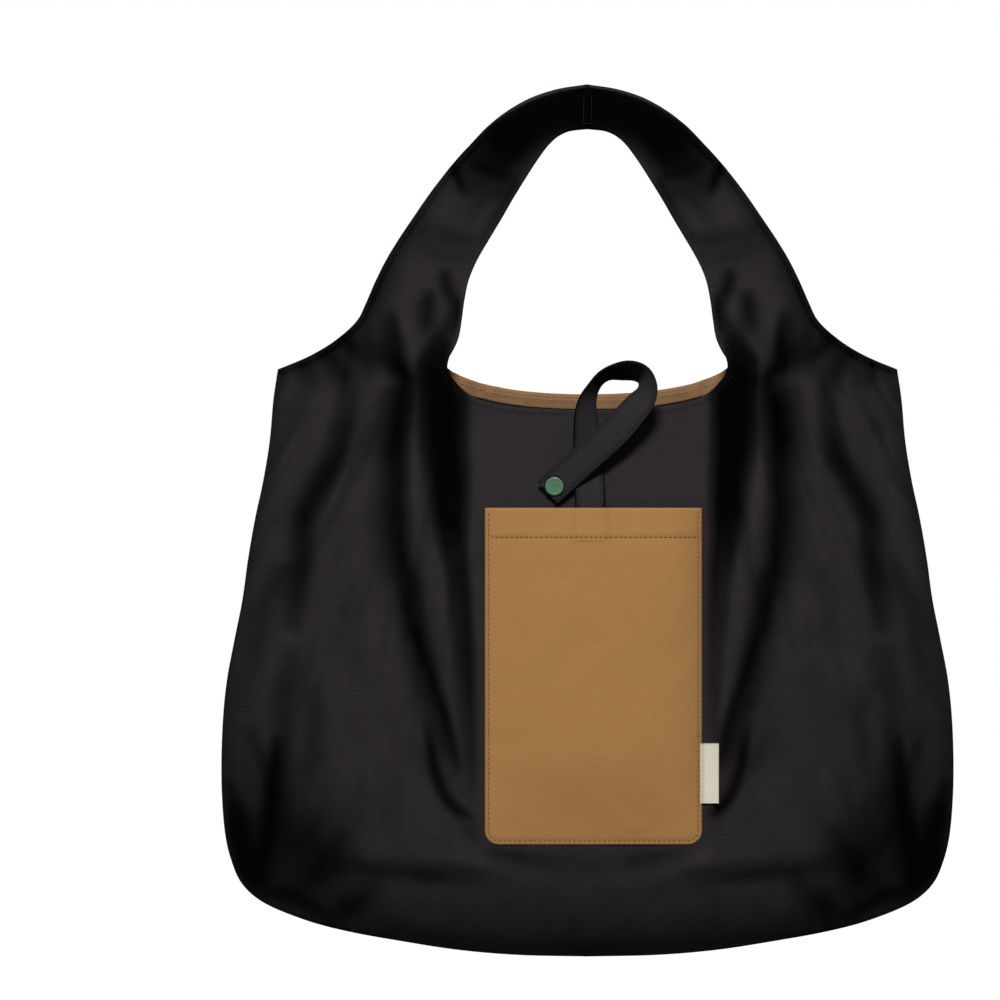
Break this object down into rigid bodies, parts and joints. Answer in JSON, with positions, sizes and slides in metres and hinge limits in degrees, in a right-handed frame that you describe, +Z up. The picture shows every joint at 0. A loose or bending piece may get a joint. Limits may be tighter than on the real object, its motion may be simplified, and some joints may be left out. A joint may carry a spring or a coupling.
{
  "type": "foldable tote bag",
  "caption": "Foldable cotton tote bag with handle loops cut in one with the panels, a front patch pocket and a snap closure strap that holds the rolled bag.",
  "frame": {"origin": "point midway between the tops of the two handle loops; a hook, peg or hand carries them along their inner edges, 30 mm below it", "axes": "+Z up, +X to the right seen from the front, the pocket side faces -Y"},
  "size_m": [0.488, 0.1034, 0.5822],
  "materials": {
    "black_cotton": "matt twill",
    "brown_cotton": "matt twill",
    "brown_tape": "plain-weave bias tape",
    "strap_cotton": "matt twill",
    "black_thread": "spun thread",
    "brown_thread": "spun thread",
    "label_tape": "woven satin tape, plain",
    "snap_plastic": "moulded resin"
  },
  "bodies": {
    "bag": {"front_panel": "black_cotton", "back_panel": "black_cotton", "front_neck_facing": "brown_tape", "back_neck_facing": "brown_tape", "left_armhole_facing": "brown_tape", "right_armhole_facing": "brown_tape", "seam_binding": "brown_tape", "front_neck_stitching": "black_thread", "back_neck_stitching": "black_thread", "armhole_stitching": "black_thread", "pocket": "brown_cotton", "pocket_stitching": "brown_thread", "closure_root_stitching": "black_thread", "closure_strap_root": "strap_cotton"},
    "front_handle": {"front_handle_left": "black_cotton", "front_handle_right": "black_cotton", "front_handle_facing": "brown_tape", "front_handle_stitching": "black_thread"},
    "back_handle": {"back_handle_left": "black_cotton", "back_handle_right": "black_cotton", "back_handle_facing": "brown_tape", "back_handle_stitching": "black_thread"},
    "closure_loop": {"closure_strap_loop": "strap_cotton", "snap_stud": "snap_plastic", "stud_cap": "snap_plastic"},
    "closure_tail": {"closure_strap_tail": "strap_cotton", "snap_cap": "snap_plastic", "snap_socket": "snap_plastic"},
    "label": {"side_label": "label_tape"}
  },
  "joints": [
    {"name": "front_handle_fold", "type": "hinge", "parent": "bag", "child": "front_handle", "pos_m": [0, -0.01, -0.147], "axis": [1, 0, 0], "range_deg": [0, 105]},
    {"name": "back_handle_fold", "type": "hinge", "parent": "bag", "child": "back_handle", "pos_m": [0, 0.01, -0.147], "axis": [-1, 0, 0], "range_deg": [0, 140]},
    {"name": "closure_lift", "type": "hinge", "parent": "bag", "child": "closure_loop", "pos_m": [0.0015, -0.052, -0.281], "axis": [1, 0, 0], "range_deg": [0, 105]},
    {"name": "closure_tail_swing", "type": "hinge", "parent": "closure_loop", "child": "closure_tail", "pos_m": [0.037, -0.05, -0.2032], "axis": [-0.6954, 0, 0.7186], "range_deg": [0, 60]},
    {"name": "label_flip", "type": "hinge", "parent": "bag", "child": "label", "pos_m": [0.076, -0.0456, -0.4583], "axis": [0, 0, -1], "range_deg": [0, 150]}
  ]
}
